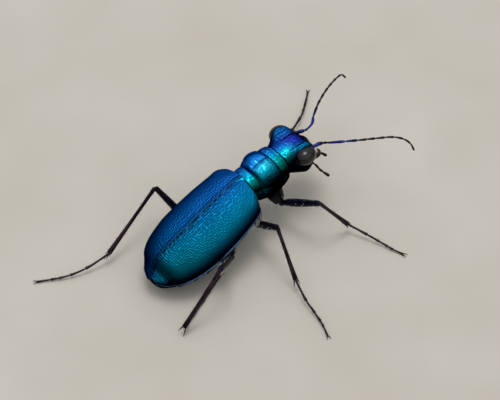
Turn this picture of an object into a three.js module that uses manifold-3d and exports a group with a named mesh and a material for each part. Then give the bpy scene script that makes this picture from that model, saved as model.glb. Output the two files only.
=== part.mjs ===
// A tiger beetle at life size, standing on level ground with its front body held level
// and its wing cases sloping down behind. Millimetres, +X is its heading, +Y its left
// side and +Z up. While it is built, x = 0 is the base of the wing cases, y = 0 its
// middle plane and z = 0 the ground.

import * as THREE from 'three';
import { mergeVertices } from 'three/addons/utils/BufferGeometryUtils.js';
import Module from 'manifold-3d';

const wasm = await Module();
wasm.setup();

// Clear distances between faces that meet
const GAP = 0.2;
const SEAM = 0.12;

// Hind body: its slope, and the height of the wing-case crown above the ground at its base
const HIND_PITCH = THREE.MathUtils.degToRad(17);
const BASE_CROWN_HEIGHT = 5;

// Wing cases
const CASE_LENGTH = 8.4;
const CASE_HALF_WIDTH = 2.45;
const CASE_CROWN = 1.87;
const CASE_WALL = 0.5;
const CASE_ROUNDNESS = 2.25;

// Scutellum, the small plate between the wing-case bases
const SCUTELLUM_HALF_WIDTH = 0.36;
const SCUTELLUM_LENGTH = 0.6;
const SCUTELLUM_SET_BACK = 0.1;
const SCUTELLUM_SUNK = 0.06;
const SCUTELLUM_THICKNESS = 0.5;

// Hind thorax and abdomen, along the wing-case length
const WAIST = 0.37;
const ABDOMEN_END = 1.012;
const BELLY_ROUNDNESS = 2.1;
const BELLY_GROOVE = 0.07;
const BELLY_PLATES = 6;
const STEPS_PER_PLATE = 3;

// Prothorax and head, level, about an axis at this height
const FORE_AXIS = 4.1;
const PROTHORAX_REAR = 0.2;
const PROTHORAX_LENGTH = 2.8;
const PROTHORAX_ROUNDNESS = 2.25;
const MEDIAN_GROOVE = 0.1;
const MEDIAN_GROOVE_HALF_WIDTH = 0.14;
const HEAD_REAR = 3.2;
const HEAD_LENGTH = 2.4;
const HEAD_ROUNDNESS = 2.6;

// Brow over each eye, and the bulge of each cheek below it
const BROW_RISE = 0.65;
const BROW_X = 4.48;
const BROW_Y = 1.09;
const BROW_LENGTH = 0.75;
const BROW_WIDTH = 0.3;
const CHEEK_BULGE = 0.22;
const CHEEK_X = 4.62;
const CHEEK_LENGTH = 0.42;
const CHEEK_LEVEL = -0.72;
const CHEEK_DEPTH = 0.25;

// Eyes
const EYE_CENTRE = new THREE.Vector3(4.42, 1.2, 4.5);
const EYE_HALF = new THREE.Vector3(0.72, 0.62, 0.54);

// Labrum, the plate over the jaws: it droops to both sides, thins out towards its front edge,
// and has a blunt tooth in the middle of it
const LABRUM_ROOT = new THREE.Vector3(5.35, 0, 3.95);
const LABRUM_FRONT = new THREE.Vector3(6.12, 0, 3.42);
const LABRUM_HALF_WIDTH = 0.7;
const LABRUM_THICKNESS = 0.4;
const LABRUM_THINNING = 0.4;
const LABRUM_DROOP = 0.12;
const LABRUM_CORNER = 0.16;
const LABRUM_TOOTH = 0.1;
const LABRUM_TOOTH_HALF_WIDTH = 0.2;

// Radii of the limbs and feelers
const COXA_RADII = [0.5, 0.6, 0.5, 0.4];
const FEMUR_RADII = [0.25, 0.29, 0.29, 0.26, 0.25];
const TIBIA_RADII = [0.25, 0.24, 0.24, 0.26];
const TARSUS_RADIUS = 0.24;
const TARSUS_TIP_RADIUS = 0.19;
const ANTENNA_RADIUS = 0.24;
const ANTENNA_TIP_RADIUS = 0.16;

// The foot's joints, and how slim each is where it begins
const FOOT_JOINTS = 5;
const FOOT_JOINT_ROOT = 0.88;
const STEPS_PER_FOOT_JOINT = 3;

// Spurs at the end of each tibia, and claws at the end of each foot: how far they root back
// from there, and how far they lean out
const SPUR_LENGTH = 0.65;
const SPUR_RADIUS = 0.11;
const SPUR_ROOT_BACK = 0.3;
const SPUR_ROOT_ASIDE = 0.12;
const SPUR_LEAN = 0.35;
const CLAW_LENGTH = 0.42;
const CLAW_RADIUS = 0.12;
const CLAW_ROOT_BACK = 0.1;
const CLAW_LEAN = 0.45;
const CLAW_DROOP = 0.2;

// Leg joints, in millimetres: where the coxa roots in the body, the trochanter at its
// tip, the knee, the end of the tibia, and the foot on from there to its claws
const COXA_ROOTS = { front: [1.85, 0.66, 3.2], middle: [-0.1, 0.85, 2.75], hind: [-2.35, 0.75, 1.95] };
const TROCHANTERS = { front: [2.15, 1.28, 1.88], middle: [0, 1.45, 1.65], hind: [-2.6, 1.78, 0.9] };
const LEGS = [
  {
    name: 'front_left',
    knee: [4.83, 2.18, 2.5],
    ankle: [7.62, 3.34, 0.55],
    foot: [[8.98, 3.92, 0.4], [9.72, 4.4, 0.28], [10.37, 4.87, 0.2], [10.95, 5.33, 0.15]],
  },
  {
    name: 'front_right',
    knee: [2.86, -4.09, 3.6],
    ankle: [4.64, -4.82, 0.75],
    foot: [[5.08, -6.06, 0.5], [5.38, -7.01, 0.32], [5.62, -7.94, 0.2], [5.85, -8.65, 0.15]],
  },
  {
    name: 'middle_left',
    knee: [-2.1, 2.55, 2.5],
    ankle: [-1.5, 3.62, 0.55],
    foot: [[-2.75, 3.55, 0.34], [-3.65, 3.32, 0.24], [-4.4, 3.02, 0.18], [-5.1, 2.6, 0.15]],
  },
  {
    name: 'middle_right',
    knee: [-0.29, -3.56, 3.4],
    ankle: [-0.92, -5.9, 0.8],
    foot: [[-1.39, -7.31, 0.5], [-1.53, -8.11, 0.33], [-1.77, -9.12, 0.2], [-2.18, -10.1, 0.15]],
  },
  {
    name: 'hind_left',
    knee: [-3.49, 4.21, 3.2],
    ankle: [-7.98, 3.73, 0.8],
    foot: [
      [-9.32, 3.99, 0.5], [-10.25, 4.3, 0.34], [-11.02, 4.68, 0.24], [-11.7, 5.13, 0.18], [-12.4, 5.6, 0.15],
    ],
  },
  {
    name: 'hind_right',
    knee: [-5.18, -3.56, 3.35],
    ankle: [-8.43, -3.69, 0.5],
    foot: [[-7.4, -3.25, 0.26], [-6.29, -2.87, 0.2], [-4.77, -2.34, 0.17], [-3.6, -1.95, 0.15]],
  },
];

// Feelers, from the head to the tip, in three lengths each
const ANTENNAE = {
  left: [
    [[4.7, 0.8, 4.3], [5.5, 0.5, 4.5], [5.9, 0.3, 4.55], [6.48, 0.36, 4.65], [6.88, 0.68, 4.7]],
    [[6.88, 0.68, 4.7], [7.34, 0.94, 4.75], [7.85, 1.21, 4.8], [8.66, 1.56, 4.8]],
    [[8.66, 1.56, 4.8], [9.39, 1.81, 4.75], [10.28, 2.04, 4.65], [10.8, 2.1, 4.5], [10.95, 1.9, 4.25]],
  ],
  right: [
    [[4.7, -0.8, 4.3], [5.35, -1.01, 4.5], [5.77, -1.18, 4.6], [6.16, -1.66, 4.75], [6.8, -2.31, 4.9]],
    [[6.8, -2.31, 4.9], [7.41, -2.87, 5.0], [8.26, -3.53, 5.05]],
    [[8.26, -3.53, 5.05], [9.15, -4.16, 5.0], [9.63, -4.66, 4.85], [9.83, -5.1, 4.6], [9.79, -5.48, 4.3]],
  ],
};

// Jaws and palps of the right side, from root to tip
const MANDIBLE = [[5.2, -0.72, 3.3], [5.85, -0.82, 3.1], [6.25, -0.55, 2.95], [6.3, -0.16, 2.88]];
const OUTER_PALP = [[4.9, -0.72, 3.25], [5.2, -1.2, 2.9], [5.17, -1.6, 2.75], [5.4, -2.2, 2.47]];
const INNER_PALP = [[5.2, -0.36, 3.35], [5.5, -0.45, 2.75], [5.95, -0.75, 2.6], [6.4, -1.0, 2.75]];
const MANDIBLE_RADII = [0.3, 0.07];
const PALP_RADII = [0.22, 0.15];

const COLOUR = {
  caseLeft: 0x0f4fa8,
  caseRight: 0x0a6f9e,
  pronotum: 0x156fb0,
  head: 0x3d45c4,
  eye: 0x6c6a70,
  belly: 0x14101f,
  leg: 0x1b1430,
  foot: 0x1d1412,
  horn: 0x2a1a12,
  ivory: 0xd9cfae,
};
const METAL = { roughness: 0.32, metalness: 0.8 };
const CUTICLE = { roughness: 0.4, metalness: 0.2 };
const GLOSS = { roughness: 0.15, metalness: 0 };

const TURN = 2 * Math.PI;
const WELD = 1e-4;
const THORN_SIDES = 5;

const point = ([x, y, z]) => new THREE.Vector3(x, y, z);
const mirrored = ([x, y, z]) => [x, -y, z];

// 1 in the middle of a swelling, and falling smoothly to 0 over its width
const swelling = (distance, width) => Math.exp(-((distance / width) ** 2));

// A smooth curve through stations of place and value
function through(stations) {
  return (t) => {
    const last = stations.length - 1;
    let i = 0;
    while (i < last - 1 && t > stations[i + 1][0]) i += 1;
    const station = (k) => stations[THREE.MathUtils.clamp(k, 0, last)];
    const [before, from, to, after] = [station(i - 1), station(i), station(i + 1), station(i + 2)];
    const width = to[0] - from[0];
    const slopeFrom = (to[1] - before[1]) / (to[0] - before[0]);
    const slopeTo = (after[1] - from[1]) / (after[0] - from[0]);
    const s = THREE.MathUtils.clamp((t - from[0]) / width, 0, 1);
    const blend = s * s * (3 - 2 * s);
    const bow = width * (slopeFrom * s * (1 - s) ** 2 - slopeTo * s * s * (1 - s));
    return from[1] + (to[1] - from[1]) * blend + bow;
  };
}

// A point on a rounded outline that reaches 1 across and 1 up
function rounded(angle, roundness) {
  const c = Math.cos(angle);
  const s = Math.sin(angle);
  const reach = (v) => Math.sign(v) * Math.abs(v) ** (2 / roundness);
  return [reach(c), reach(s)];
}

// A closed body from a closed three.js geometry
function solid(geometry) {
  geometry.deleteAttribute('normal');
  geometry.deleteAttribute('uv');
  const welded = mergeVertices(geometry, WELD);
  const corners = welded.index.array;
  const triangles = [];
  for (let i = 0; i < corners.length; i += 3) {
    const [a, b, c] = [corners[i], corners[i + 1], corners[i + 2]];
    if (a !== b && b !== c && c !== a) triangles.push([a, b, c]);
  }
  const build = (faces) => new wasm.Manifold(new wasm.Mesh({
    numProp: 3,
    vertProperties: new Float32Array(welded.attributes.position.array),
    triVerts: new Uint32Array(faces.flat()),
  }));
  const body = build(triangles);
  return body.volume() > 0 ? body : build(triangles.map(([a, b, c]) => [a, c, b]));
}

// The geometry of a body's largest closed surface
function skin(body) {
  const [largest] = body.decompose().sort((a, b) => b.volume() - a.volume());
  const { vertProperties, triVerts } = largest.getMesh();
  const geometry = new THREE.BufferGeometry();
  geometry.setAttribute('position', new THREE.BufferAttribute(vertProperties, 3));
  geometry.setIndex(new THREE.BufferAttribute(triVerts, 1));
  geometry.computeVertexNormals();
  return geometry;
}

// A body swept through rings: place(t, turn, reach) gives the point at t along it and
// turn round it, where reach is 1 on the skin and 0 at the middle of an end face
function loft(sides, steps, place) {
  const body = new THREE.CylinderGeometry(1, 1, 1, sides, steps);
  const at = body.attributes.position;
  for (let i = 0; i < at.count; i += 1) {
    const [across, along, up] = [at.getX(i), at.getY(i), at.getZ(i)];
    const reach = Math.round(Math.hypot(across, up));
    const placed = place(0.5 - along, Math.atan2(up, across) / TURN, reach);
    at.setXYZ(i, placed.x, placed.y, placed.z);
  }
  return solid(body);
}

// A plate: place(u, v, w) gives the point at u along it, v across it and w through it
function plate(lengthSteps, widthSteps, place) {
  const body = new THREE.BoxGeometry(1, 1, 1, lengthSteps, widthSteps, 1);
  const at = body.attributes.position;
  for (let i = 0; i < at.count; i += 1) {
    const placed = place(at.getX(i) + 0.5, at.getY(i) + 0.5, at.getZ(i) + 0.5);
    at.setXYZ(i, placed.x, placed.y, placed.z);
  }
  return solid(body);
}

// A tube along a smooth line through points, as thick as radiusAt says along it
function tube(points, sides, steps, radiusAt) {
  const line = new THREE.CatmullRomCurve3(points.map(point));
  const frames = line.computeFrenetFrames(steps, false);
  return loft(sides, steps, (t, turn, reach) => {
    const k = Math.round(t * steps);
    const radius = radiusAt(t) * reach;
    return line.getPointAt(t)
      .addScaledVector(frames.normals[k], radius * Math.cos(TURN * turn))
      .addScaledVector(frames.binormals[k], radius * Math.sin(TURN * turn));
  });
}

// A straight limb from a to b with rounded ends that reach past both
function limb(a, b, radii, sides) {
  const length = a.distanceTo(b);
  const first = radii[0];
  const final = radii[radii.length - 1];
  const profile = [new THREE.Vector2(0, -first), new THREE.Vector2(first * 0.8, -first * 0.6)];
  radii.forEach((radius, i) => profile.push(new THREE.Vector2(radius, (length * i) / (radii.length - 1))));
  profile.push(new THREE.Vector2(final * 0.8, length + final * 0.6), new THREE.Vector2(0, length + final));
  const turned = new THREE.LatheGeometry(profile, sides);
  const along = b.clone().sub(a).normalize();
  turned.applyQuaternion(new THREE.Quaternion().setFromUnitVectors(new THREE.Vector3(0, 1, 0), along));
  turned.translate(a.x, a.y, a.z);
  return solid(turned);
}

// What lies on the near side of the plane that halves the bend at a joint, half a gap off
function mitred(body, joint, near, far) {
  const normal = near.clone().sub(joint).normalize().sub(far.clone().sub(joint).normalize()).normalize();
  return body.trimByPlane(normal.toArray(), normal.dot(joint) + GAP / 2);
}

// A thin cone from a root along a direction
function thorn(root, direction, length, radius) {
  const cone = new THREE.ConeGeometry(radius, length, THORN_SIDES);
  cone.translate(0, length / 2, 0);
  cone.applyQuaternion(new THREE.Quaternion().setFromUnitVectors(new THREE.Vector3(0, 1, 0), direction));
  cone.translate(root.x, root.y, root.z);
  return solid(cone);
}

const beetle = new THREE.Group();
const hindBody = new THREE.Group();
hindBody.rotation.y = -HIND_PITCH;
beetle.add(hindBody);

function addPiece(parent, name, body, color, finish) {
  const mesh = new THREE.Mesh(skin(body), new THREE.MeshStandardMaterial({ color, ...finish }));
  mesh.name = name;
  parent.add(mesh);
}

// Wing-case outlines: half width, crown height and wall along the length
const caseHalfWidth = through([
  [-0.05, 0.62], [0, 0.71], [0.03, 0.79], [0.07, 0.84], [0.12, 0.875], [0.2, 0.915], [0.3, 0.945],
  [0.45, 0.975], [0.6, 0.965], [0.7, 0.915], [0.8, 0.825], [0.88, 0.685], [0.94, 0.515], [0.97, 0.37],
  [1, 0.14],
]);
const caseCrown = through([
  [-0.05, 0.77], [0, 0.8], [0.1, 0.9], [0.25, 0.93], [0.45, 0.95], [0.65, 0.965], [0.8, 0.95], [0.88, 0.86],
  [0.94, 0.62], [0.97, 0.42], [1, 0.2],
]);

// The hind body turns about the middle of the wing-case base
const baseCrown = CASE_CROWN * caseCrown(0);
hindBody.position.x = baseCrown * Math.sin(HIND_PITCH);
hindBody.position.z = BASE_CROWN_HEIGHT - baseCrown * Math.cos(HIND_PITCH);
hindBody.updateMatrix();

// How far a point of the hind body is set back so that its front face stands upright
function setBack(z, t) {
  return (baseCrown - z) * Math.tan(HIND_PITCH) * (1 - t);
}

function caseSize(t) {
  const half = CASE_HALF_WIDTH * caseHalfWidth(t);
  const crown = CASE_CROWN * caseCrown(t);
  return { half, crown, wall: Math.min(CASE_WALL, 0.45 * half, 0.55 * crown) };
}

function wingCase(side) {
  return plate(20, 8, (u, v, w) => {
    const t = (u + (1 - Math.cos(Math.PI * u)) / 2) / 2;
    const { half, crown, wall } = caseSize(t);
    const inset = wall * (1 - w);
    const [up, across] = rounded((v * Math.PI) / 2, CASE_ROUNDNESS);
    const y = SEAM / 2 + (half - inset - SEAM / 2) * across;
    const z = (crown - inset) * up;
    return new THREE.Vector3(-CASE_LENGTH * t - setBack(z, t) * (1 - t) ** 4, side * y, z);
  });
}

// The scutellum is a flat triangle that points back; grown is how far its outline is moved out
function scutellum(grown) {
  const half = SCUTELLUM_HALF_WIDTH + grown;
  const outline = new THREE.Shape();
  outline.moveTo(2 * grown, half);
  outline.lineTo(-SCUTELLUM_LENGTH - 2 * grown, 0);
  outline.lineTo(2 * grown, -half);
  const depth = SCUTELLUM_THICKNESS + 2 * grown;
  const block = new THREE.ExtrudeGeometry(outline, { depth, bevelEnabled: false });
  block.translate(-SCUTELLUM_SET_BACK, 0, baseCrown - SCUTELLUM_SUNK - SCUTELLUM_THICKNESS - grown);
  return solid(block);
}

addPiece(hindBody, 'wing_case_left', wingCase(1).subtract(scutellum(SEAM)), COLOUR.caseLeft, METAL);
addPiece(hindBody, 'wing_case_right', wingCase(-1).subtract(scutellum(SEAM)), COLOUR.caseRight, METAL);
addPiece(hindBody, 'scutellum', scutellum(0), COLOUR.pronotum, METAL);

// Underside of the hind body: half width and depth below the margins
const bellyHalfWidth = through([
  [-0.05, 1.3], [0, 1.55], [0.1, 1.95], [0.3, 2.2], [0.6, 2.25], [0.8, 1.88], [0.9, 1.42], [0.97, 0.9],
  [1.02, 0.32],
]);
const bellyDepth = through([
  [-0.05, 0.85], [0.05, 1], [0.2, 1.05], [0.37, 0.95], [0.6, 0.8], [0.85, 0.55], [1.02, 0.2],
]);

// Under the wing cases the hind body fills their hollow, a gap clear of their wall
function hindPart(from, to, steps, { grown = 0, grooved = false, upright = false }) {
  return loft(22, steps, (t, turn, reach) => {
    const along = from + (to - from) * t;
    const { half, crown, wall } = caseSize(Math.min(along, 1));
    const groove = grooved && Math.round(t * steps) % STEPS_PER_PLATE === 0 ? BELLY_GROOVE : 0;
    const [across, up] = rounded(TURN * turn, BELLY_ROUNDNESS);
    const inner = Math.max(half - wall - GAP, 0.08);
    const wide = up < 0 ? bellyHalfWidth(along) - groove + grown : inner;
    const tall = up < 0 ? bellyDepth(along) - groove + grown : crown - wall - (up > 0.9 ? SEAM : 0);
    const z = tall * up * reach - GAP;
    const x = -CASE_LENGTH * along - (upright ? setBack(z, t) : 0);
    return new THREE.Vector3(x, wide * across * reach, z);
  });
}

const waistGap = GAP / 2 / CASE_LENGTH;
const hindThorax = hindPart(0, WAIST - waistGap, 8, { upright: true }).subtract(scutellum(SEAM));
addPiece(hindBody, 'hind_thorax', hindThorax, COLOUR.belly, CUTICLE);
addPiece(
  hindBody,
  'abdomen',
  hindPart(WAIST + waistGap, ABDOMEN_END, BELLY_PLATES * STEPS_PER_PLATE, { grooved: true }),
  COLOUR.belly,
  CUTICLE,
);

// Prothorax: half width above and below its side edge, crown and keel along its length
const prothoraxHalfWidth = through([
  [0, 0.98], [0.15, 1.08], [0.26, 1.1], [0.36, 1.24], [0.52, 1.42], [0.7, 1.4], [0.79, 1.26], [0.88, 1.26],
  [1, 1.2],
]);
const prothoraxSideHalfWidth = through([
  [0, 1.1], [0.12, 1.36], [0.3, 1.54], [0.6, 1.6], [0.85, 1.5], [1, 1.34],
]);
const prothoraxCrown = through([
  [0, 0.74], [0.1, 0.82], [0.18, 0.82], [0.24, 0.7], [0.31, 0.96], [0.45, 1.18], [0.6, 1.18], [0.72, 1.04],
  [0.78, 0.88], [0.88, 0.93], [1, 0.86],
]);
const prothoraxKeel = through([[0, 1.1], [0.3, 1.35], [0.65, 1.4], [1, 1.05]]);

function prothorax(grown) {
  return loft(24, 18, (t, turn, reach) => {
    const [across, up] = rounded(TURN * turn, PROTHORAX_ROUNDNESS);
    const below = THREE.MathUtils.smoothstep(-up, -0.05, 0.5);
    const wide = THREE.MathUtils.lerp(prothoraxHalfWidth(t), prothoraxSideHalfWidth(t), below) + grown;
    const line = MEDIAN_GROOVE * swelling(across, MEDIAN_GROOVE_HALF_WIDTH);
    const tall = up < 0 ? prothoraxKeel(t) + grown : prothoraxCrown(t) - line + grown;
    const x = PROTHORAX_REAR + PROTHORAX_LENGTH * t;
    return new THREE.Vector3(x, wide * across * reach, FORE_AXIS + tall * up * reach);
  });
}
addPiece(beetle, 'prothorax', prothorax(0), COLOUR.pronotum, METAL);

// Head: half width above and at the cheeks, crown and chin along it
const headHalfWidth = through([
  [0, 1.06], [0.1, 1.1], [0.28, 1.2], [0.55, 1.27], [0.7, 1.26], [0.85, 1.16], [1, 0.68],
]);
const cheekHalfWidth = through([
  [0, 1.1], [0.12, 1.14], [0.28, 1.28], [0.5, 1.46], [0.72, 1.42], [0.88, 1.16], [1, 0.72],
]);
const headCrown = through([
  [0, 0.78], [0.1, 0.82], [0.28, 0.86], [0.5, 0.84], [0.68, 0.77], [0.82, 0.58], [0.93, 0.27], [1, 0.05],
]);
const headChin = through([[0, 0.8], [0.15, 0.98], [0.35, 1.27], [0.6, 1.38], [0.85, 1.2], [1, 0.8]]);

function head(grown) {
  return loft(26, 16, (t, turn, reach) => {
    const [across, up] = rounded(TURN * turn, HEAD_ROUNDNESS);
    const x = HEAD_REAR + HEAD_LENGTH * t + grown * (2 * t - 1);
    const below = THREE.MathUtils.smoothstep(-up, -0.4, 0.3);
    const wide = THREE.MathUtils.lerp(headHalfWidth(t), cheekHalfWidth(t), below) + grown;
    const y = wide * across * reach;
    const overEye = swelling(x - BROW_X, BROW_LENGTH) * swelling(Math.abs(y) - BROW_Y, BROW_WIDTH);
    const brow = BROW_RISE * overEye * THREE.MathUtils.smoothstep(up, 0, 0.5);
    const cheek = CHEEK_BULGE * swelling(x - CHEEK_X, CHEEK_LENGTH) * swelling(up - CHEEK_LEVEL, CHEEK_DEPTH);
    const tall = (up < 0 ? headChin(t) : headCrown(t)) + grown;
    return new THREE.Vector3(x, y, FORE_AXIS + (tall * up + brow - cheek) * reach);
  });
}

function eye(side, grown) {
  const ball = new THREE.SphereGeometry(1, 16, 12);
  ball.scale(EYE_HALF.x + grown, EYE_HALF.y + grown, EYE_HALF.z + grown);
  ball.translate(EYE_CENTRE.x, side * EYE_CENTRE.y, EYE_CENTRE.z);
  return solid(ball);
}

addPiece(beetle, 'head', head(0).subtract(eye(1, SEAM)).subtract(eye(-1, SEAM)), COLOUR.head, METAL);
addPiece(beetle, 'eye_left', eye(1, 0), COLOUR.eye, GLOSS);
addPiece(beetle, 'eye_right', eye(-1, 0), COLOUR.eye, GLOSS);

// Mouthparts meet the head on its own surface, a seam clear
const headSocket = head(SEAM);

const labrum = plate(3, 8, (u, v, w) => {
  const across = 2 * v - 1;
  const middle = LABRUM_ROOT.clone().lerp(LABRUM_FRONT, u);
  const tooth = LABRUM_TOOTH * u * swelling(across, LABRUM_TOOTH_HALF_WIDTH);
  const corner = LABRUM_CORNER * u * across ** 4;
  const depth = LABRUM_THICKNESS * (1 - LABRUM_THINNING * u) * (w - 0.5);
  const z = middle.z - LABRUM_DROOP * across ** 2 + depth;
  return new THREE.Vector3(middle.x + tooth - corner, LABRUM_HALF_WIDTH * across, z);
});
addPiece(beetle, 'labrum', labrum.subtract(headSocket), COLOUR.ivory, CUTICLE);

function taper([from, to]) {
  return (t) => from + (to - from) * t;
}

for (const [sideName, turned] of [['left', mirrored], ['right', (p) => p]]) {
  const jaw = tube(MANDIBLE.map(turned), 6, 8, taper(MANDIBLE_RADII)).subtract(headSocket);
  addPiece(beetle, `mandible_${sideName}`, jaw, COLOUR.horn, CUTICLE);
  for (const [name, line] of [['palp_outer', OUTER_PALP], ['palp_inner', INNER_PALP]]) {
    const palp = tube(line.map(turned), 6, 7, taper(PALP_RADII)).subtract(headSocket);
    addPiece(beetle, `${name}_${sideName}`, palp, COLOUR.horn, CUTICLE);
  }
}

// Feelers: three lengths each, which taper towards the tip and meet at a flat joint
for (const [sideName, lengths] of Object.entries(ANTENNAE)) {
  const slim = (ANTENNA_TIP_RADIUS - ANTENNA_RADIUS) / lengths.length;
  ['root', 'middle', 'tip'].forEach((place, k) => {
    const line = lengths[k];
    const thick = ANTENNA_RADIUS + slim * k;
    let feeler = tube(line, 6, 9, (t) => thick + slim * t);
    if (k === 0) feeler = feeler.subtract(headSocket);
    if (k > 0) feeler = mitred(feeler, point(line[0]), point(line[1]), point(lengths[k - 1].at(-2)));
    if (k < 2) feeler = mitred(feeler, point(line.at(-1)), point(line.at(-2)), point(lengths[k + 1][1]));
    addPiece(beetle, `antenna_${sideName}_${place}`, feeler, COLOUR.foot, CUTICLE);
  });
}

// What each pair of coxae roots in, a gap larger all round
const hindSocket = hindPart(0, WAIST, 8, { grown: GAP, upright: true })
  .add(hindPart(WAIST, ABDOMEN_END, 12, { grown: GAP }))
  .transform(hindBody.matrix.elements);
const SOCKETS = { front: prothorax(GAP), middle: hindSocket, hind: hindSocket };

for (const { name, knee, ankle, foot } of LEGS) {
  const [pair, side] = name.split('_');
  const turned = side === 'left' ? (p) => p : mirrored;
  const root = point(turned(COXA_ROOTS[pair]));
  const hip = point(turned(TROCHANTERS[pair]));
  const kneeAt = point(knee);
  const ankleAt = point(ankle);
  const toe = point(foot[0]);
  const tip = point(foot.at(-1));

  const coxa = mitred(limb(root, hip, COXA_RADII, 9), hip, root, kneeAt).subtract(SOCKETS[pair]);
  addPiece(beetle, `${name}_coxa`, coxa, COLOUR.leg, CUTICLE);

  const femur = mitred(mitred(limb(hip, kneeAt, FEMUR_RADII, 8), hip, kneeAt, root), kneeAt, hip, ankleAt);
  addPiece(beetle, `${name}_femur`, femur, COLOUR.leg, CUTICLE);

  // The tibia ends in two spurs, one each side of the foot
  const shin = ankleAt.clone().sub(kneeAt).normalize();
  const aside = shin.clone().cross(toe.clone().sub(ankleAt)).normalize();
  let tibia = mitred(limb(kneeAt, ankleAt, TIBIA_RADII, 7), kneeAt, ankleAt, hip);
  tibia = mitred(tibia, ankleAt, kneeAt, toe);
  for (const hand of [1, -1]) {
    const lean = aside.clone().multiplyScalar(hand);
    const start = ankleAt.clone().addScaledVector(shin, -SPUR_ROOT_BACK);
    start.addScaledVector(lean, SPUR_ROOT_ASIDE);
    const aim = shin.clone().addScaledVector(lean, SPUR_LEAN).normalize();
    tibia = tibia.add(thorn(start, aim, SPUR_LENGTH, SPUR_RADIUS));
  }
  addPiece(beetle, `${name}_tibia`, tibia.trimByPlane([0, 0, 1], 0), COLOUR.leg, CUTICLE);

  // Foot joints, each a little wider at its far end, then two claws
  const swell = (t) => (t === 1 ? 1 : FOOT_JOINT_ROOT + (1 - FOOT_JOINT_ROOT) * ((t * FOOT_JOINTS) % 1));
  const footRadius = taper([TARSUS_RADIUS, TARSUS_TIP_RADIUS]);
  let tarsus = tube([ankle, ...foot], 6, FOOT_JOINTS * STEPS_PER_FOOT_JOINT, (t) => footRadius(t) * swell(t));
  tarsus = mitred(tarsus, ankleAt, toe, kneeAt);
  const heading = tip.clone().sub(point(foot.at(-2))).setZ(0).normalize();
  const spread = new THREE.Vector3(-heading.y, heading.x, 0);
  const clawRoot = tip.clone().addScaledVector(heading, -CLAW_ROOT_BACK);
  for (const hand of [1, -1]) {
    const aim = heading.clone().addScaledVector(spread, CLAW_LEAN * hand).setZ(-CLAW_DROOP).normalize();
    tarsus = tarsus.add(thorn(clawRoot, aim, CLAW_LENGTH, CLAW_RADIUS));
  }
  addPiece(beetle, `${name}_tarsus`, tarsus.trimByPlane([0, 0, 1], 0), COLOUR.foot, CUTICLE);
}

// The origin is on the ground, below the middle of the whole animal
const extent = new THREE.Box3().setFromObject(beetle);
const centre = extent.getCenter(new THREE.Vector3());
beetle.position.set(-centre.x, -centre.y, -extent.min.z);

export default beetle;
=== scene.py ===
"""A metallic blue tiger beetle at life size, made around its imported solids.

Shapes are worked out in millimetres, with x = 0 at the base of the wing cases, y = 0 in the
middle plane and z = 0 on the ground, and are then put where the frame holds the solids.
"""

import math
import random

import bmesh
import bpy
from mathutils import Matrix, Vector, noise


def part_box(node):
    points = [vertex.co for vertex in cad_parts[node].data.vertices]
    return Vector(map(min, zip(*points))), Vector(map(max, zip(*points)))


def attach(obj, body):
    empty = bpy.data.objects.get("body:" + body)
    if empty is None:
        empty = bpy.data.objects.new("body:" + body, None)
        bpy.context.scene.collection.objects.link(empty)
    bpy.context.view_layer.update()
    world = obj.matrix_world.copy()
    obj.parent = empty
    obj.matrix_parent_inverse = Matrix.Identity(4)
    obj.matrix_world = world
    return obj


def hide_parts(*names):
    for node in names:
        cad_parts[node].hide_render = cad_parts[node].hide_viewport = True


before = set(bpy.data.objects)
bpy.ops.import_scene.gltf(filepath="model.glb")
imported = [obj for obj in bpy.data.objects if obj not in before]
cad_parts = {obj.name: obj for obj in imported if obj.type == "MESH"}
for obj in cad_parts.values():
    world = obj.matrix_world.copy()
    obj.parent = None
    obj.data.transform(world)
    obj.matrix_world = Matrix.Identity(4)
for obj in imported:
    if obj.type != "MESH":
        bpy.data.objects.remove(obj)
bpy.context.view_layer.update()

MM = 0.001

# Hind body: its slope, and the height of the wing-case crown at its base
HIND_PITCH = math.radians(17)
BASE_CROWN_HEIGHT = 5.0

# Wing cases
CASE_LENGTH = 8.4
CASE_HALF_WIDTH = 2.45
CASE_CROWN = 1.87
CASE_ROUNDNESS = 2.25
CASE_SHELL = 0.11
CASE_STEPS = 230
CASE_STRIPS = 104
SUTURE_GAP = 0.004
RIM_FLANGE = 0.07

# Scutellum
SCUTELLUM_HALF_WIDTH = 0.32
SCUTELLUM_LENGTH = 0.6
SCUTELLUM_THICKNESS = 0.3

# Hind thorax and abdomen: shares of the wing-case length, and how far they keep from the wing
# cases at the side and at the crown
WAIST = 0.37
ABDOMEN_END = 1.012
BELLY_PLATES = 6
BELLY_ROUNDNESS = 2.1
BELLY_DROP = 0.2
HOLLOW_GAPS = (0.45, 0.35)

# Prothorax and head, level, about an axis at this height
FORE_AXIS = 4.1
PROTHORAX_REAR = 0.05
PROTHORAX_LENGTH = 2.97
PROTHORAX_ROUNDNESS = 2.25
HEAD_REAR = 3.06
HEAD_LENGTH = 2.54
HEAD_ROUNDNESS = 2.6
NECK = ((2.5, 0, FORE_AXIS - 0.1), (3.7, 0, FORE_AXIS - 0.1))
LIP_PLATE = ((5.3, -0.66, 4.06), (5.47, 0, 4.2), (5.3, 0.66, 4.06))

# Brow over each eye: how high, how far along, how far out and how much it widens the head. The
# left one roofs its eye more than the right one does. Then the reach of a brow, and the bulge
# of each cheek below it
BROWS = {"left": (0.57, 4.4, 1.24, 0.2), "right": (0.4, 4.55, 0.9, -0.24)}
BROW_REACH = (0.8, 0.37)
BROW_SPREAD = (4.1, 0.5)
CHEEK_BULGE = 0.22
CHEEK_PLACE = (4.62, -0.72)
CHEEK_REACH = (0.42, 0.25)

# Eyes
EYE_CENTRE = Vector((4.42, 1.2, 4.5))
EYE_HALF = Vector((0.72, 0.62, 0.54))

# Labrum, from its root to its front edge
LABRUM_ROOT = Vector((5.35, 0, 3.95))
LABRUM_FRONT = Vector((6.12, 0, 3.42))
LABRUM_HALF_WIDTH = 0.7

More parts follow.
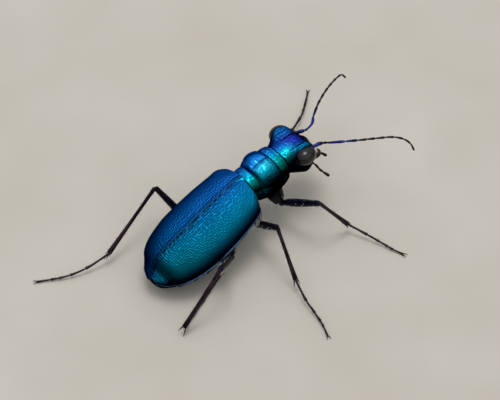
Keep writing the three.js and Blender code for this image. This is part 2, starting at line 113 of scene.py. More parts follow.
# Radii along each length of a leg, from the body outwards
COXA_RADII = (0.45, 0.58, 0.48, 0.3)
TROCHANTER_RADII = (0.18, 0.24, 0.21, 0.15)
KNEE_RADII = (0.12, 0.16, 0.12)
FEMUR_RADII = (0.19, 0.26, 0.27, 0.25, 0.22, 0.19)
TIBIA_RADII = (0.14, 0.115, 0.115, 0.125, 0.145, 0.17)
TARSUS_RADII = (
    (0.08, 0.068, 0.105), (0.065, 0.064, 0.098), (0.06, 0.064, 0.09), (0.056, 0.068, 0.086),
    (0.05, 0.056, 0.075),
)
TARSUS_SHARES = (0.36, 0.21, 0.15, 0.1, 0.18)
SPUR_RADII = (0.042, 0.0336, 0.008)
CLAW_LENGTH = 0.3
CLAW_RADII = (0.032, 0.024, 0.0064)
FOOT_LOWERED = 0.05

# Each pair of legs: where the coxa roots, the trochanter at its tip, and how long the spurs are
LEG_PAIRS = {
    "front": ((1.85, 0.66, 3.2), (2.15, 1.28, 1.88), 0.4),
    "middle": ((-0.1, 0.85, 2.75), (0, 1.45, 1.65), 0.5),
    "hind": ((-2.35, 0.75, 1.95), (-2.6, 1.78, 0.9), 0.6),
}

# Each leg: its knee, the end of its tibia, and its foot from there to the claws
LEGS = {
    "front_left": (
        (4.83, 2.18, 2.5), (7.62, 3.34, 0.55),
        ((8.98, 3.92, 0.4), (9.72, 4.4, 0.28), (10.37, 4.87, 0.2), (10.95, 5.33, 0.15)),
    ),
    "front_right": (
        (2.86, -4.09, 3.6), (4.64, -4.82, 0.75),
        ((5.08, -6.06, 0.5), (5.38, -7.01, 0.32), (5.62, -7.94, 0.2), (5.85, -8.65, 0.15)),
    ),
    "middle_left": (
        (-2.1, 2.55, 2.5), (-1.5, 3.62, 0.55),
        ((-2.75, 3.55, 0.34), (-3.65, 3.32, 0.24), (-4.4, 3.02, 0.18), (-5.1, 2.6, 0.15)),
    ),
    "middle_right": (
        (-0.29, -3.56, 3.4), (-0.92, -5.9, 0.8),
        ((-1.39, -7.31, 0.5), (-1.53, -8.11, 0.33), (-1.77, -9.12, 0.2), (-2.18, -10.1, 0.15)),
    ),
    "hind_left": (
        (-3.49, 4.21, 3.2), (-7.98, 3.73, 0.8),
        (
            (-9.32, 3.99, 0.5), (-10.25, 4.3, 0.34), (-11.02, 4.68, 0.24), (-11.7, 5.13, 0.18),
            (-12.4, 5.6, 0.15),
        ),
    ),
    "hind_right": (
        (-5.18, -3.56, 3.35), (-8.43, -3.69, 0.5),
        ((-7.4, -3.25, 0.26), (-6.29, -2.87, 0.2), (-4.77, -2.34, 0.17), (-3.6, -1.95, 0.15)),
    ),
}

# White hairs of a thigh: where each row lies round it, how many hairs, and how long
THIGH_HAIRS = (((1.2, 1.9), 16, 0.2), ((4.2, 5.2), 15, 0.34), ((-0.5, 0.5), 8, 0.24))

# Feelers in three lengths each, how their segments share each length, and how thick they are
ANTENNAE = {
    "left": (
        ((5.0, 0.72, 4.4), (5.5, 0.5, 4.5), (5.9, 0.3, 4.55), (6.48, 0.36, 4.65), (6.88, 0.68, 4.7)),
        ((6.88, 0.68, 4.7), (7.34, 0.94, 4.75), (7.85, 1.21, 4.8), (8.66, 1.56, 4.8)),
        (
            (8.66, 1.56, 4.8), (9.39, 1.81, 4.75), (10.28, 2.04, 4.65), (10.8, 2.1, 4.5),
            (10.95, 1.9, 4.25),
        ),
    ),
    "right": (
        (
            (4.95, -0.86, 4.4), (5.35, -1.01, 4.5), (5.77, -1.18, 4.6), (6.16, -1.66, 4.75),
            (6.8, -2.31, 4.9),
        ),
        ((6.8, -2.31, 4.9), (7.41, -2.87, 5.0), (8.26, -3.53, 5.05)),
        (
            (8.26, -3.53, 5.05), (9.15, -4.16, 5.0), (9.63, -4.66, 4.85), (9.83, -5.1, 4.6),
            (9.79, -5.48, 4.3),
        ),
    ),
}
ANTENNA_SHARES = ((0.42, 0.1, 0.48), (0.42, 0.3, 0.28), (0.22, 0.21, 0.2, 0.19, 0.18))
ANTENNA_RADII = ((0.12, 0.085, 0.092), (0.086, 0.082, 0.08), (0.078, 0.076, 0.073, 0.07, 0.066))

# How thick a segment of a feeler or a palp is along it, as a share of its radius
SEGMENT_SWELLING = (0.62, 0.8, 0.92, 1.05, 0.8)

# Jaw of the right side from root to tip, and the place and length of each of its teeth
MANDIBLE = ((5.2, -0.72, 3.3), (5.85, -0.82, 3.1), (6.25, -0.55, 2.95), (6.3, -0.16, 2.88))
MANDIBLE_RADII = (0.28, 0.22, 0.15, 0.09, 0.03)
MANDIBLE_TEETH = ((0.5, 0.24), (0.64, 0.22), (0.78, 0.18))
TOOTH_RADII = (0.08, 0.05, 0.01)

# Palps of the right side from root to tip, with the shares and radii of their segments
PALPS = {
    "outer": (
        ((4.95, -0.72, 3.25), (5.3, -1.15, 2.9), (5.32, -1.62, 2.75), (5.55, -2.22, 2.47)),
        (0.3, 0.22, 0.2, 0.28), (0.085, 0.08, 0.085, 0.1),
    ),
    "inner": (
        ((5.2, -0.36, 3.35), (5.7, -0.45, 2.8), (6.2, -0.62, 2.85), (6.42, -1.08, 2.78)),
        (0.34, 0.38, 0.28), (0.08, 0.085, 0.1),
    ),
}

# Camera: its direction from the photograph's angle, and how far the view's middle lies from
# the middle of the wing-case base, to the right and down
CAMERA_TURN = math.radians(43.5)
CAMERA_RISE = math.radians(50)
CAMERA_DISTANCE = 300.0
CAMERA_CLIP = (0.02, 3)
VIEW_WIDTH = 31.25
VIEW_OFFSET = (0.531, -1.45)
SENSOR_WIDTH = 36.0

# The light's direction from its aim, its distance and its size in millimetres, and its power
# in watts. Then the floor's half width in metres
LIGHT_AIM = (0, 0, 3)
LIGHT_DIRECTION = (0.08, 0.1, 0.99)
LIGHT_DISTANCE = 170
LIGHT_SIZE = 70
LIGHT_POWER = 0.09
FLOOR_HALF_WIDTH = 0.6


def rounded(angle, roundness):
    """A point on a rounded outline that reaches 1 each way."""
    c, s = math.cos(angle), math.sin(angle)
    power = 2 / roundness
    return math.copysign(abs(c) ** power, c), math.copysign(abs(s) ** power, s)


def curve_through(stations):
    """A smooth curve through pairs of place and value."""
    last = len(stations) - 1

    def value(t):
        i = 0
        while i < last - 1 and t > stations[i + 1][0]:
            i += 1
        before, start, end, after = (stations[min(max(k, 0), last)] for k in range(i - 1, i + 3))
        width = end[0] - start[0]
        slope_start = (end[1] - before[1]) / (end[0] - before[0])
        slope_end = (after[1] - start[1]) / (after[0] - start[0])
        s = min(max((t - start[0]) / width, 0), 1)
        blend = s * s * (3 - 2 * s)
        bow = width * (slope_start * s * (1 - s) ** 2 - slope_end * s * s * (1 - s))
        return start[1] + (end[1] - start[1]) * blend + bow

    return value


def even_curve(values):
    """A smooth curve through values that are evenly spaced from 0 to 1."""
    return curve_through([(i / (len(values) - 1), value) for i, value in enumerate(values)])


def path_through(points):
    """A smooth line through points, at a share of its length from 0 to 1."""
    stops = [0.0]
    for a, b in zip(points, points[1:]):
        stops.append(stops[-1] + (Vector(b) - Vector(a)).length)
    curves = [
        curve_through([(stop / stops[-1], point[axis]) for stop, point in zip(stops, points)])
        for axis in range(3)
    ]
    return lambda t: Vector([curve(t) for curve in curves])


def hump(distance, width):
    """1 in the middle, falling smoothly to 0 over the width."""
    return math.exp(-((distance / width) ** 2))


def step(low, high, value):
    """Rises smoothly from 0 at low to 1 at high."""
    s = min(max((value - low) / (high - low), 0), 1)
    return s * s * (3 - 2 * s)


def grain(point, size):
    """Smooth noise from -1 to 1 with lumps of a size in millimetres."""
    return noise.noise(point / size)


def mirrored(points):
    """Points of the right side carried over to the left."""
    return [(x, -y, z) for x, y, z in points]


# Outlines of the hind body along the wing-case length
case_half_width = curve_through([
    (-0.05, 0.62), (0, 0.71), (0.03, 0.79), (0.07, 0.84), (0.12, 0.875), (0.2, 0.915),
    (0.3, 0.945), (0.45, 0.975), (0.6, 0.965), (0.7, 0.915), (0.8, 0.825), (0.88, 0.685),
    (0.94, 0.515), (0.97, 0.37), (1, 0.14),
])
case_crown = curve_through([
    (-0.05, 0.77), (0, 0.8), (0.1, 0.9), (0.25, 0.93), (0.45, 0.95), (0.65, 0.965), (0.8, 0.95),
    (0.88, 0.86), (0.94, 0.62), (0.97, 0.42), (1, 0.2),
])
belly_half_width = curve_through([
    (-0.05, 1.3), (0, 1.55), (0.1, 1.95), (0.3, 2.2), (0.6, 2.25), (0.8, 1.88), (0.9, 1.42),
    (0.97, 0.9), (1.02, 0.32),
])
belly_depth = curve_through([
    (-0.05, 0.85), (0.05, 1), (0.2, 1.05), (0.37, 0.95), (0.6, 0.8), (0.85, 0.55), (1.02, 0.2),
])

# Outlines of the prothorax and the head along each
prothorax_half_width = curve_through([
    (0, 0.98), (0.15, 1.08), (0.26, 1.1), (0.36, 1.24), (0.52, 1.42), (0.7, 1.4), (0.79, 1.26),
    (0.88, 1.26), (1, 1.2),
])
prothorax_side_half_width = curve_through([
    (0, 1.1), (0.12, 1.36), (0.3, 1.54), (0.6, 1.6), (0.85, 1.5), (1, 1.34),
])
prothorax_crown = curve_through([
    (0, 0.74), (0.1, 0.82), (0.2, 0.82), (0.25, 0.7), (0.31, 0.96), (0.45, 1.18), (0.6, 1.18),
    (0.72, 1.04), (0.78, 0.88), (0.88, 0.93), (1, 0.86),
])
prothorax_keel = curve_through([(0, 1.1), (0.3, 1.35), (0.65, 1.4), (1, 1.05)])
head_half_width = curve_through([
    (0, 1.04), (0.1, 1.1), (0.3, 1.2), (0.55, 1.27), (0.7, 1.26), (0.85, 1.16), (1, 0.68),
])
cheek_half_width = curve_through([
    (0, 1.08), (0.12, 1.14), (0.28, 1.28), (0.5, 1.46), (0.72, 1.42), (0.88, 1.16), (1, 0.72),
])
head_crown = curve_through([
    (0, 0.76), (0.1, 0.81), (0.3, 0.86), (0.5, 0.84), (0.68, 0.77), (0.82, 0.58), (0.93, 0.27),
    (1, 0.05),
])
head_chin = curve_through([(0, 0.8), (0.15, 0.98), (0.35, 1.27), (0.6, 1.38), (0.85, 1.2), (1, 0.8)])

base_crown = CASE_CROWN * case_crown(0)
HIND_BODY = (
    Matrix.Translation((
        base_crown * math.sin(HIND_PITCH), 0, BASE_CROWN_HEIGHT - base_crown * math.cos(HIND_PITCH),
    ))
    @ Matrix.Rotation(-HIND_PITCH, 4, "Y")
)
LEVEL = Matrix.Identity(4)


def set_back(z, t):
    """How far a point of the hind body is set back so that its front face stands upright."""
    return (base_crown - z) * math.tan(HIND_PITCH) * (1 - t)


eye_corners = [*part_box("eye_left"), *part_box("eye_right")]
eyes_middle = sum(eye_corners, Vector()) / len(eye_corners)
eyes_place = Vector((EYE_CENTRE.x, 0, EYE_CENTRE.z)) * MM
TO_FRAME = Matrix.Translation(eyes_middle - eyes_place) @ Matrix.Scale(MM, 4)


def linear(hex_colour):
    """An sRGB hex colour as linear red, green, blue and alpha."""
    shares = [int(hex_colour[i:i + 2], 16) / 255 for i in (0, 2, 4)]
    return (*[c / 12.92 if c <= 0.04045 else ((c + 0.055) / 1.055) ** 2.4 for c in shares], 1)


def add_node(tree, kind, inputs=None, stops=None, **settings):
    """Adds a node with its settings, its inputs as values or links, and the stops of its ramp."""
    made = tree.nodes.new(kind)
    for name, value in settings.items():
        setattr(made, name, value)
    for socket, value in (inputs or {}).items():
        if isinstance(value, bpy.types.NodeSocket):
            tree.links.new(value, made.inputs[socket])
        else:
            made.inputs[socket].default_value = value
    for i, (place, value) in enumerate(stops or ()):
        points = made.color_ramp.elements
        point = points[i] if i < 2 else points.new(place)
        point.position = place
        point.color = linear(value) if isinstance(value, str) else (value, value, value, 1)
    return made


def new_material(name):
    """An empty material and its node tree, with the surface's own place in millimetres."""
    material = bpy.data.materials.new(name)
    material.use_nodes = True
    tree = material.node_tree
    tree.nodes.clear()
    place = add_node(tree, "ShaderNodeTexCoord")
    shift = TO_FRAME.translation / MM
    here = add_node(
        tree, "ShaderNodeMapping",
        {"Vector": place.outputs["Object"], "Location": -shift, "Scale": (1 / MM, 1 / MM, 1 / MM)},
    )
    return material, tree, here.outputs[0]


def surface(tree, **inputs):
    """The material's one shader, with its sockets by name, joined to its output."""
    sockets = {name.replace("_", " "): value for name, value in inputs.items()}
    shader = add_node(tree, "ShaderNodeBsdfPrincipled", sockets)
    add_node(tree, "ShaderNodeOutputMaterial", {"Surface": shader.outputs[0]})


def attribute(tree, name, kind="Fac"):
    """What the mesh keeps under a name for each of its points."""
    return add_node(tree, "ShaderNodeAttribute", attribute_name=name).outputs[kind]


def share_between(tree, value, low, high):
    """How far a value has come from low to high, from 0 to 1."""
    inputs = {"Value": value, "From Min": low, "From Max": high}
    return add_node(tree, "ShaderNodeMapRange", inputs).outputs[0]


def ramp(tree, share, stops):
    """The colour or grey at a share from 0 to 1, between stops."""
    return add_node(tree, "ShaderNodeValToRGB", {0: share}, stops=stops).outputs[0]


def mix(tree, share, first, second, blend="MIX"):
    """Two colours mixed by a share."""
    sockets = {0: share, 6: first, 7: second}
    return add_node(tree, "ShaderNodeMix", sockets, data_type="RGBA", blend_type=blend).outputs[2]


def darkened(tree, colour, *shades):
    """A colour times each shade."""
    for shade in shades:
        colour = mix(tree, 1.0, colour, shade, "MULTIPLY")
    return colour


def drifting(tree, here, per_mm, detail, stops):
    """A colour or grey that drifts from place to place, so many times in a millimetre."""
    inputs = {"Vector": here, "Scale": per_mm, "Detail": detail}
    return ramp(tree, add_node(tree, "ShaderNodeTexNoise", inputs).outputs[0], stops)


def pitted(tree, here, cell, depth, shade, flat=False):
    """A closely pitted skin: a bump, and a painted shade that is darker in the pits, with cells
    of a size and a depth in millimetres. A flat one lies along the surface, in even rows."""
    distance = add_node(
        tree, "ShaderNodeTexVoronoi",
        {"Vector": here, "Scale": 1 / cell, "Randomness": 0.55 if flat else 0.75},
        voronoi_dimensions="2D" if flat else "3D",
    ).outputs["Distance"]
    dome = ramp(tree, distance, ((0.05, 1.0), (0.62, 0.0)))
    bump = add_node(
        tree, "ShaderNodeBump", {"Height": dome, "Strength": 0.9, "Distance": depth * MM},
        invert=True,
    )
    return bump.outputs[0], ramp(tree, distance, ((0.1, shade), (0.44, 1.0)))


# Pits of the cuticles: their width and depth in millimetres, and the painted shade in their middle.
# Then the width and the depth of the lenses of an eye
CASE_PITS = (0.138, 0.04, 0.32)
FORE_BODY_PITS = (0.11, 0.03, 0.45)
LIP_GRAIN = (0.12, 0.006, 0.9)
DARK_GRAIN_SHADE = 0.7
EYE_FACET = 0.055
EYE_FACET_DEPTH = 0.006

# What a layered cuticle throws back at a glancing angle, where its blue gives way to violet
GRAZING_TINT = linear("2c2450")

# Wing-case colours from the suture out to the rim, over the shoulders and near the tip, with painted
# light in them: painted highlights along the suture and the rim, painted shade that darkens them
# down the sides, and the left case painted darker all over than the right
CASE_COLOURS_AND_LIGHT = {
    "left": (
        (
            (0, "3c8cd4"), (0.015, "0c4c94"), (0.09, "1a70d0"), (0.4, "0e62b8"), (0.7, "143e7c"),
            (0.92, "0c1638"), (0.98, "0c1638"), (0.992, "3668b8"),
        ),
        (
            (0, "2c84bc"), (0.015, "064680"), (0.09, "0864ac"), (0.4, "044c8a"), (0.7, "062a50"),
            (0.92, "060e20"), (0.98, "060e20"), (0.992, "24488c"),
        ),
    ),
    "right": (
        (
            (0, "48a4e4"), (0.015, "0c5ca8"), (0.08, "1280d2"), (0.35, "0a92c8"),
            (0.6, "048cb6"), (0.8, "044a72"), (0.9, "051c30"), (0.982, "081830"),
            (0.992, "6ca8f0"),
        ),
        (
            (0, "3494bc"), (0.015, "065c84"), (0.08, "067aa2"), (0.35, "027c96"),
            (0.6, "02748a"), (0.8, "023a50"), (0.9, "021420"), (0.982, "041428"),
            (0.992, "7ab4f4"),
        ),
    ),
}

# Share of the colours near the tip, where the brighter front colours come back as a painted
# highlight, and the painted shade along the wing case's length: over the rear of the left case and
# in the dip before the tip of the right one
CASE_REAR_SHARE = ((0.1, 0.0), (0.75, 1.0), (0.94, 1.0), (0.965, 0.2))
CASE_SHADES = {
    "left": ((0.62, 1.0), (0.84, 0.6), (0.92, 0.3), (1.0, 0.4)),
    "right": ((0.84, 1.0), (0.91, 0.3), (0.94, 0.24), (0.965, 1.0)),
}

# Fore body: how far forward its colours run and how far to each side, and the painted shade
# that darkens its cuticle where it faces aside or lies in a furrow
FORE_BODY_LENGTH = 5.6
FORE_BODY_SIDE = 1.5
SLOPE_SHADES = ((0.1, 0.12), (0.6, 0.4), (0.9, 1.0))


def wing_case_cuticle(side):
    """Hard wing-case cuticle, grown in many thin layers: a structural blue that runs to teal
    behind, with painted shade that takes it to near black down the sides and towards the tip,
    painted highlights along the suture, the rim and the tip, and a deep metallic lustre
    broken by fine pits, each darkened by painted shade.
    The real pits, about 0.05 mm wide, are too fine to show and are drawn nearly three times
    as wide."""
    material, tree, here = new_material(f"layered_blue_cuticle_{side}")
    along, across = attribute(tree, "along"), attribute(tree, "across")
    front, rear = (ramp(tree, across, stops) for stops in CASE_COLOURS_AND_LIGHT[side])
    colour = mix(tree, ramp(tree, along, CASE_REAR_SHARE), front, rear)
    shade = ramp(tree, along, CASE_SHADES[side])
    patch = drifting(tree, here, 0.9, 3.0, ((0.35, 0.82), (0.7, 1.0)))
    normal, pit_shade = pitted(tree, attribute(tree, "skin", "Vector"), *CASE_PITS, flat=True)
    surface(
        tree, Base_Color=darkened(tree, colour, shade, patch, pit_shade), Metallic=1.0, Roughness=0.4,
        Normal=normal, Specular_Tint=GRAZING_TINT,
    )
    return material


def fore_body_cuticle(
    name, roughness, main_stops, band_stops, share_stops, shade_stops=((0, 1), (1, 1)),
):
    """Polished cuticle of the fore body: blue and cyan above, with painted shade that takes it
    nearly black down the sides and in its furrows, and fine wrinkles that break its highlights
    into threads, drawn twice as wide as the real ones so that they show, with painted shade in
    their pits. The main and the band colours run from left to right, the band's share and the
    painted shade from back to front."""
    material, tree, here = new_material(name)
    axes = add_node(tree, "ShaderNodeSeparateXYZ", {0: here}).outputs
    length = share_between(tree, axes["X"], 0.0, FORE_BODY_LENGTH)
    width = share_between(tree, axes["Y"], FORE_BODY_SIDE, -FORE_BODY_SIDE)
    main, band = ramp(tree, width, main_stops), ramp(tree, width, band_stops)
    colour = mix(tree, ramp(tree, length, share_stops), main, band)
    shade = ramp(tree, length, shade_stops)
    slope_shade = ramp(tree, attribute(tree, "lit"), SLOPE_SHADES)
    normal, pit_shade = pitted(tree, here, *FORE_BODY_PITS)
    surface(
        tree, Base_Color=darkened(tree, colour, shade, slope_shade, pit_shade), Metallic=1.0,
        Roughness=roughness, Normal=normal, Specular_Tint=GRAZING_TINT,
    )
    return material


def dark_cuticle(name, first, second, metallic, roughness, cell, depth):
    """Thick dark cuticle: nearly black, with a violet or brown cast that shifts from place to
    place, and a fine grain that softens its gloss, darkened in its pits by painted shade. The
    real grain, about 0.02 mm wide, is too fine to show and is drawn coarser."""
    material, tree, here = new_material(name)
    tint = drifting(tree, here, 1.6, 4.0, ((0.38, first), (0.64, second)))
    normal, pit_shade = pitted(tree, here, cell, depth, DARK_GRAIN_SHADE)
    surface(
        tree, Base_Color=darkened(tree, tint, pit_shade), Metallic=metallic, Roughness=roughness,
        Normal=normal, IOR=1.56, Specular_Tint=GRAZING_TINT, Coat_Weight=0.1,
        Coat_Roughness=0.25, Coat_IOR=1.56,
    )
    return material


def eye_lens():
    """Thousands of tiny lenses over black-brown pigment: a bead with a wet gloss, its colour
    mottled with painted reflections. The lenses are drawn twice as wide as real ones, to show at
    all."""
    material, tree, here = new_material("faceted_eye_lenses")
    pigment_and_reflections = drifting(tree, here, 3.2, 2.0, ((0.42, "030304"), (0.62, "26221f")))
    facets = add_node(
        tree, "ShaderNodeTexVoronoi", {"Vector": here, "Scale": 1 / EYE_FACET, "Randomness": 0.2},
    )
    bump = add_node(
        tree, "ShaderNodeBump",
        {"Height": facets.outputs[0], "Strength": 0.35, "Distance": EYE_FACET_DEPTH * MM},
        invert=True,
    )
    surface(
        tree, Base_Color=pigment_and_reflections, Metallic=0.0, Roughness=0.1, IOR=1.48, Normal=bump.outputs[0],
    )
    return material


def ivory_plate():
    """Unpigmented cuticle: ivory and slightly waxy along the front edge of the lip, turning
    brown black towards its root, with a faint painted shade in its fine grain."""
    material, tree, here = new_material("waxy_ivory_cuticle")
    tint = drifting(tree, here, 2.4, 3.0, ((0.35, "b8a67c"), (0.6, "e4dcc2")))
    forward = add_node(tree, "ShaderNodeSeparateXYZ", {0: here}).outputs["X"]
    reach = share_between(tree, forward, LABRUM_ROOT.x, LABRUM_FRONT.x)
    pale = ramp(tree, reach, ((0.5, 0.02), (0.78, 1.0)))
    normal, pit_shade = pitted(tree, here, *LIP_GRAIN)
    surface(
        tree, Base_Color=darkened(tree, tint, pale, pit_shade), Roughness=0.32, IOR=1.54,
        Normal=normal, Subsurface_Weight=0.1,
    )
    return material


def hair_keratin():
    """A clear bristle: white where the light passes through it, with a silky gloss."""
    material, tree, here = new_material("clear_white_bristle")
    tint = drifting(tree, here, 4.0, 2.0, ((0.3, "b9b6ae"), (0.7, "f1efe8")))
    surface(tree, Base_Color=tint, Roughness=0.35, IOR=1.54)
    return material


def pale_floor():
    """Matt pale board, painted: plain, with only a trace of cloudiness."""
    material, tree, here = new_material("matt_pale_paint")
    tint = drifting(tree, here, 0.12, 2.0, ((0.3, "c6bfb3"), (0.7, "cec8bd")))
    surface(tree, Base_Color=tint, Roughness=0.8, IOR=1.45)
    return material


def add_barrel(bm, segments, rings, place, rounding=0.1):
    """A ball drawn out along a length: place(t, turn, reach) gives a point at t along it and
    turn round it. Reach is 1 on its side and falls to 0 over each rounded end."""
    cap = 0.18
    ball = bmesh.ops.create_uvsphere(bm, u_segments=segments, v_segments=rings, radius=1)
    for vert in ball["verts"]:
        share = math.acos(min(max(vert.co.z, -1), 1)) / math.pi
        from_end = min(share, 1 - share)
        if from_end < cap:
            angle = from_end / cap * math.pi / 2
            reach, inset = math.sin(angle), rounding * (1 - math.cos(angle))
        else:
            reach, inset = 1, rounding + (1 - 2 * rounding) * (from_end - cap) / (1 - 2 * cap)
        t = inset if share < 0.5 else 1 - inset
        vert.co = place(t, math.atan2(vert.co.y, vert.co.x), reach)


def add_rod(bm, points, radii, segments=14, rings=22, rounding=0.04, flat=1.0):
    """A rod along a smooth line through points, as thick as radii says along it."""
    line = path_through(points)
    radius_at = even_curve(radii)
    run = Vector(points[-1]) - Vector(points[0])
    least = min(range(3), key=lambda axis: abs(run[axis]))
    reference = Vector([float(axis == least) for axis in range(3)])

    def place(t, turn, reach):
        tangent = (line(min(t + 0.02, 1)) - line(max(t - 0.02, 0))).normalized()
        side = tangent.cross(reference).normalized()
        up = side.cross(tangent)
        radius = radius_at(t) * reach
        return line(t) + side * (radius * math.cos(turn)) + up * (radius * flat * math.sin(turn))

    add_barrel(bm, segments, rings, place, rounding)


def add_hair(bm, root, direction, length, radius, droop=0.15):
    """A tapering bristle that bends down a little towards its tip."""
    aim = Vector(direction).normalized() * length
    line = (root, root + aim * 0.55, root + aim + Vector((0, 0, -droop * length)))
    add_rod(bm, line, (radius, radius * 0.7, radius * 0.12), 4, 5, 0.01)


def face_outwards(bm):
    """Turns the faces of closed shapes outwards."""
    bmesh.ops.recalc_face_normals(bm, faces=bm.faces)
    if bm.calc_volume(signed=True) < 0:
        bmesh.ops.reverse_faces(bm, faces=bm.faces)


def keep_slope(bm, furrow):
    """Keeps how far each point faces up, less where furrow(place) is deep, for a painted shade in
    its colour.
    """
    lit = bm.verts.layers.float.new("lit")
    face_outwards(bm)
    bm.normal_update()
    for vert in bm.verts:
        vert[lit] = step(-0.1, 0.85, vert.normal.z) * (1 - furrow(vert.co))


def add_object(name, data):
    """A new object in the scene, at the origin."""
    made = bpy.data.objects.new(name, data)
    bpy.context.scene.collection.objects.link(made)
    return made


def finish_piece(name, bm, materials, nodes=(), placed=LEVEL):
    """Puts a shape made in millimetres where the frame holds the solids, as one piece."""
    bmesh.ops.transform(bm, matrix=placed, verts=bm.verts)
    for vert in bm.verts:
        vert.co.z = max(vert.co.z, 0)
    bmesh.ops.transform(bm, matrix=TO_FRAME, verts=bm.verts)
    face_outwards(bm)
    mesh = bpy.data.meshes.new(name)
    bm.to_mesh(mesh)
    bm.free()
    for material in materials:
        mesh.materials.append(material)
    mesh.shade_smooth()
    piece = add_object(name, mesh)
    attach(piece, "root")
    if nodes:
        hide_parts(*nodes)


def case_arc(t):
    """The length of the wing case's curve from the suture to the rim."""
    return 0.8 * (CASE_HALF_WIDTH * case_half_width(t) + CASE_CROWN * case_crown(t))


def case_relief(t, v, spot):
    """How far the wing case stands out from its plain dome: a flange along the rim, a fine
    bead beside the suture, a shoulder knob, wrinkles behind it and a dip before the tip."""
    from_rim = (1 - v) * case_arc(t)
    from_suture = v * case_arc(t)
    flange = RIM_FLANGE * max(0, 1 - from_rim / (0.16 + 0.1 * step(0.86, 0.97, t))) ** 2
    bead = 0.012 * hump(from_suture, 0.05) - 0.012 * hump(from_suture - 0.13, 0.05)
    knob = 0.09 * hump(t - 0.07, 0.045) * hump(v - 0.62, 0.16)
    knob -= 0.06 * hump(t - 0.055, 0.05) * hump(v - 0.33, 0.13)
    dip = -0.07 * hump(t - 0.93, 0.03) * step(0.15, 0.5, v)
    fine = Vector((spot.x * 3.2, spot.y, spot.z))
    wrinkles = 0.012 * grain(fine, 0.5) * (1 - step(0.25, 0.6, t)) * step(0.06, 0.2, v)
    swell = 0.012 * grain(spot, 0.9)
    return flange + bead + knob + dip + wrinkles + swell


def make_wing_case(sign, side, material):
    """One wing case: a thin domed shell over its half of the hind body."""
    bm = bmesh.new()
    along = bm.verts.layers.float.new("along")
    across = bm.verts.layers.float.new("across")
    skin = bm.verts.layers.float_vector.new("skin")
    bmesh.ops.create_grid(bm, x_segments=CASE_STEPS, y_segments=CASE_STRIPS, size=0.5)
    for vert in bm.verts:
        u, w = vert.co.x + 0.5, vert.co.y + 0.5
        t = (u + (1 - math.cos(math.pi * u)) / 2) / 2
        v = (w + (1 - math.cos(math.pi * w)) / 2) / 2
        vert[along], vert[across] = t, v
        vert[skin] = Vector((CASE_LENGTH * t, case_arc(t) * v, 0))
        up, out = rounded(v * math.pi / 2, CASE_ROUNDNESS)
        tuck = 0.12 * (1 - step(0, 0.012, t))
        half = CASE_HALF_WIDTH * case_half_width(t) - RIM_FLANGE - tuck
        y = SUTURE_GAP / 2 + (half - SUTURE_GAP / 2) * out
        z = (CASE_CROWN * case_crown(t) - tuck) * up
        vert.co = Vector((-CASE_LENGTH * t - set_back(z, t) * (1 - t) ** 4, sign * y, z))
    bm.normal_update()
    for vert in bm.verts:
        outward = vert.normal if vert.normal.z > 0 or vert.normal.y * sign > 0 else -vert.normal
        vert.co += outward * case_relief(vert[along], vert[across], vert.co)
    bmesh.ops.solidify(bm, geom=bm.faces[:], thickness=CASE_SHELL)
    finish_piece(f"{side}_wing_case", bm, [material], [f"wing_case_{side}"], HIND_BODY)


def make_scutellum(material):
    """A small shield that points back, domed, between the wing-case bases."""
    bm = bmesh.new()
    bmesh.ops.create_circle(bm, cap_ends=True, segments=3, radius=1)
    for vert, (x, y) in zip(bm.verts, ((0.02, -1), (-SCUTELLUM_LENGTH, 0), (0.02, 1))):
        vert.co = Vector((x, y * SCUTELLUM_HALF_WIDTH, 0))
    bmesh.ops.subdivide_edges(bm, edges=bm.edges[:], cuts=7, use_grid_fill=True)
    for vert in bm.verts:
        middle = 1 - abs(vert.co.y) / SCUTELLUM_HALF_WIDTH
        crown = CASE_CROWN * case_crown(-vert.co.x / CASE_LENGTH)
        vert.co.z = crown + 0.035 * middle
    # Painted shade where the shield faces aside
    keep_slope(bm, lambda spot: 0)
    bmesh.ops.solidify(bm, geom=bm.faces[:], thickness=SCUTELLUM_THICKNESS)
    finish_piece("scutellum_shield", bm, [material], ["scutellum"], HIND_BODY)


def add_hind_part(bm, start, end, rings, upright, ridges):
    """A length of the hind body: it fills the hollow under the wing cases, and below them it
    bulges, with ridges(along, across) raised on its underside."""
    def place(t, turn, reach):
        along = start + (end - start) * t
        across, up = rounded(turn, BELLY_ROUNDNESS)
        if up < 0:
            raised = ridges(along, across)
            wide, tall = belly_half_width(along) + raised, belly_depth(along) + raised
        else:
            under = min(along, 1)
            wide = max(CASE_HALF_WIDTH * case_half_width(under) - HOLLOW_GAPS[0], 0.08)
            tall = CASE_CROWN * case_crown(under) - HOLLOW_GAPS[1]
        z = tall * up * reach - BELLY_DROP
        x = -CASE_LENGTH * along - (set_back(z, t) if upright else 0)
        return Vector((x, wide * across * reach, z))

    add_barrel(bm, 90, rings, place, 0.03)


def thorax_ridges(along, across):
    """Seams between the plates of the hind thorax, and a keel along its middle."""
    seams = sum(hump(along - place, 0.008) for place in (0.11, 0.2, 0.33))
    return 0.05 * hump(across, 0.12) - 0.07 * seams - 0.05 * hump(abs(across) - 0.72, 0.03)


def abdomen_ridges(along, across):
    """Belly plates that each overlap the next, with a dent at each side."""
    share = (along - WAIST) / (ABDOMEN_END - WAIST) * BELLY_PLATES % 1
    return 0.08 * share ** 2 - 0.07 * hump(share, 0.06) - 0.03 * hump(abs(across) - 0.8, 0.06)


def make_hind_body(material):
    """The hind thorax, and the abdomen that runs a little into it."""
    bm = bmesh.new()
    add_hind_part(bm, 0, WAIST + 0.01, 80, True, thorax_ridges)
    finish_piece("hind_thorax_plates", bm, [material], ["hind_thorax"], HIND_BODY)
    bm = bmesh.new()
    add_hind_part(bm, WAIST - 0.01, ABDOMEN_END, 170, False, abdomen_ridges)
    finish_piece("abdomen_plates", bm, [material], ["abdomen"], HIND_BODY)


def neck_furrows(t, y):
    """Furrows across the neck shield before and behind its domes, and the line between them."""
    rear, front = hump(t - 0.24, 0.02), hump(t - 0.785, 0.02)
    line = hump(y, 0.045) * step(0.24, 0.3, t) * (1 - step(0.7, 0.8, t))
    return rear, front, line


